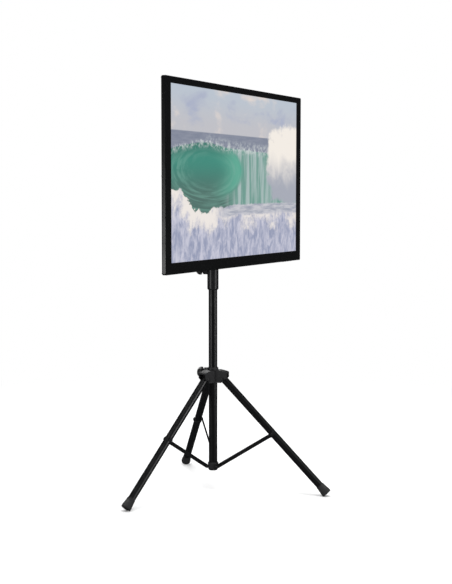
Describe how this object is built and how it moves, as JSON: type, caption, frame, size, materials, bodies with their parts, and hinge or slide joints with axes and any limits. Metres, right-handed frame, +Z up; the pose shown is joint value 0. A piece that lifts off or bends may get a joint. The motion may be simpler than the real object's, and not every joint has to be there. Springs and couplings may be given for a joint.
{
  "type": "display tripod stand",
  "caption": "Flat display on a telescoping mast with a folding braced tripod base, clamp knobs and a panning, tilting head.",
  "frame": {"origin": "on the floor under the axis of the mast, at the centre of the circle through the three feet", "axes": "+X along the display width, to the right as seen from the front; the display faces -Y; +Z up along the mast"},
  "size_m": [1.146, 0.8174, 1.627],
  "materials": {
    "powder_black": "satin black powder coat on steel",
    "moulded_black": "glass-filled nylon, matte",
    "satin_black": "satin moulded collar",
    "black_zinc": "black zinc plate",
    "bright_zinc": "bright zinc plate",
    "nylon": "black nylon",
    "knob_black": "moulded knob, matte",
    "foot_rubber": "moulded rubber",
    "bezel_black": "satin to gloss black bezel",
    "cover_black": "fine spark-textured cover",
    "screen": "flat panel with polariser",
    "acrylic": "light guide and diffuser films",
    "led_white": "LEDs on a white strip",
    "tray_steel": "galvanised sheet steel",
    "board_green": "solder mask on glass fibre",
    "board_tan": "paper laminate board",
    "speaker_black": "moulded speaker box",
    "jack_grey": "moulded jack plate",
    "jack_black": "moulded mains inlet",
    "key_grey": "moulded key"
  },
  "bodies": {
    "mast": {"mast_tube": "powder_black", "bottom_collar": "moulded_black", "brace_pins": "black_zinc", "top_collar": "satin_black", "top_collar_nut": "bright_zinc", "top_collar_pad": "nylon"},
    "hub": {"leg_hub": "moulded_black", "leg_pivot_bolts": "black_zinc", "hub_nut": "bright_zinc", "hub_pad": "nylon"},
    "hub_knob": {"hub_knob": "knob_black", "hub_stud": "bright_zinc"},
    "leg_1": {"leg_tube_1": "powder_black", "leg_insert_1": "moulded_black", "rubber_foot_1": "foot_rubber", "brace_saddle_1": "black_zinc"},
    "brace_1": {"brace_1": "powder_black", "brace_rivet_1": "black_zinc"},
    "leg_2": {"leg_tube_2": "powder_black", "leg_insert_2": "moulded_black", "rubber_foot_2": "foot_rubber", "brace_saddle_2": "black_zinc"},
    "brace_2": {"brace_2": "powder_black", "brace_rivet_2": "black_zinc"},
    "leg_3": {"leg_tube_3": "powder_black", "leg_insert_3": "moulded_black", "rubber_foot_3": "foot_rubber", "brace_saddle_3": "black_zinc"},
    "brace_3": {"brace_3": "powder_black", "brace_rivet_3": "black_zinc"},
    "pole": {"lift_pole": "powder_black", "pole_bush": "moulded_black"},
    "top_knob": {"top_knob": "knob_black", "top_stud": "bright_zinc"},
    "head": {"head_socket": "powder_black", "tilt_bolt": "black_zinc"},
    "head_knob": {"head_knob": "knob_black", "head_stud": "bright_zinc"},
    "tilt_knob": {"tilt_knob": "knob_black"},
    "display": {"tilt_bracket": "powder_black", "display_plate": "powder_black", "plate_screws": "black_zinc", "front_bezel": "bezel_black", "lcd_panel": "screen", "light_guide": "acrylic", "led_bars": "led_white", "backlight_tray": "tray_steel", "rear_cover": "cover_black", "main_board": "board_green", "power_board": "board_tan", "speakers": "speaker_black", "jack_panel": "jack_grey", "power_inlet": "jack_black", "cover_screws": "black_zinc", "key_board": "board_green"},
    "key_power": {"key_power": "key_grey"},
    "key_source": {"key_source": "key_grey"},
    "key_up": {"key_up": "key_grey"},
    "key_down": {"key_down": "key_grey"}
  },
  "joints": [
    {"name": "hub_slide", "type": "slide", "parent": "mast", "child": "hub", "axis": [0, 0, 1], "range_m": [0, 0.20919]},
    {"name": "leg_1_fold", "type": "hinge", "parent": "hub", "child": "leg_1", "pos_m": [0.01089, -0.04368, 0.4594], "axis": [0.9703, 0.2419, 0], "range_deg": [0, 43.75]},
    {"name": "leg_2_fold", "type": "hinge", "parent": "hub", "child": "leg_2", "pos_m": [0.03238, 0.03127, 0.4594], "axis": [-0.6947, 0.7193, 0], "range_deg": [0, 43.75]},
    {"name": "leg_3_fold", "type": "hinge", "parent": "hub", "child": "leg_3", "pos_m": [-0.04327, 0.01241, 0.4594], "axis": [-0.2756, -0.9613, 0], "range_deg": [0, 43.75]},
    {"name": "brace_1_fold", "type": "hinge", "parent": "mast", "child": "brace_1", "pos_m": [0.00436, -0.01747, 0.096], "axis": [-0.9703, -0.2419, 0], "range_deg": [0, 52]},
    {"name": "brace_2_fold", "type": "hinge", "parent": "mast", "child": "brace_2", "pos_m": [0.01295, 0.0125, 0.096], "axis": [0.6947, -0.7193, 0], "range_deg": [0, 52]},
    {"name": "brace_3_fold", "type": "hinge", "parent": "mast", "child": "brace_3", "pos_m": [-0.0173, 0.00496, 0.096], "axis": [0.2756, 0.9613, 0], "range_deg": [0, 52]},
    {"name": "hub_knob_turn", "type": "hinge", "parent": "hub", "child": "hub_knob", "pos_m": [-0.0121, 0.04852, 0.48346], "axis": [-0.2419, 0.9703, 0], "range_deg": [0, 450]},
    {"name": "height", "type": "slide", "parent": "mast", "child": "pole", "axis": [0, 0, 1], "range_m": [-0.22, 0.35]},
    {"name": "top_knob_turn", "type": "hinge", "parent": "mast", "child": "top_knob", "pos_m": [-0.0121, 0.04852, 0.905], "axis": [-0.2419, 0.9703, 0], "range_deg": [0, 450]},
    {"name": "pan", "type": "hinge", "parent": "pole", "child": "head", "pos_m": [0, 0, 1.273], "axis": [0, 0, 1], "continuous": true},
    {"name": "head_knob_turn", "type": "hinge", "parent": "head", "child": "head_knob", "pos_m": [0, 0.04, 1.229], "axis": [0, 1, 0], "range_deg": [0, 450]},
    {"name": "tilt", "type": "hinge", "parent": "head", "child": "display", "pos_m": [0, -0.04, 1.273], "axis": [1, 0, 0], "range_deg": [-15, 8]},
    {"name": "tilt_knob_turn", "type": "hinge", "parent": "head", "child": "tilt_knob", "pos_m": [0.04, -0.04, 1.273], "axis": [1, 0, 0], "range_deg": [0, 450]},
    {"name": "key_power_press", "type": "slide", "parent": "display", "child": "key_power", "axis": [0, 0, 1], "range_m": [0, 0.0012], "stiffness_N_per_m": 400, "springref_m": -0.0005},
    {"name": "key_source_press", "type": "slide", "parent": "display", "child": "key_source", "axis": [0, 0, 1], "range_m": [0, 0.0012], "stiffness_N_per_m": 400, "springref_m": -0.0005},
    {"name": "key_up_press", "type": "slide", "parent": "display", "child": "key_up", "axis": [0, 0, 1], "range_m": [0, 0.0012], "stiffness_N_per_m": 400, "springref_m": -0.0005},
    {"name": "key_down_press", "type": "slide", "parent": "display", "child": "key_down", "axis": [0, 0, 1], "range_m": [0, 0.0012], "stiffness_N_per_m": 400, "springref_m": -0.0005}
  ],
  "couplings": [
    {"joint": "leg_1_fold", "follows": "hub_slide", "rad_per_m": 3.646},
    {"joint": "leg_2_fold", "follows": "hub_slide", "rad_per_m": 3.646},
    {"joint": "leg_3_fold", "follows": "hub_slide", "rad_per_m": 3.646},
    {"joint": "brace_1_fold", "follows": "hub_slide", "rad_per_m": 4.3346},
    {"joint": "brace_2_fold", "follows": "hub_slide", "rad_per_m": 4.3346},
    {"joint": "brace_3_fold", "follows": "hub_slide", "rad_per_m": 4.3346}
  ]
}
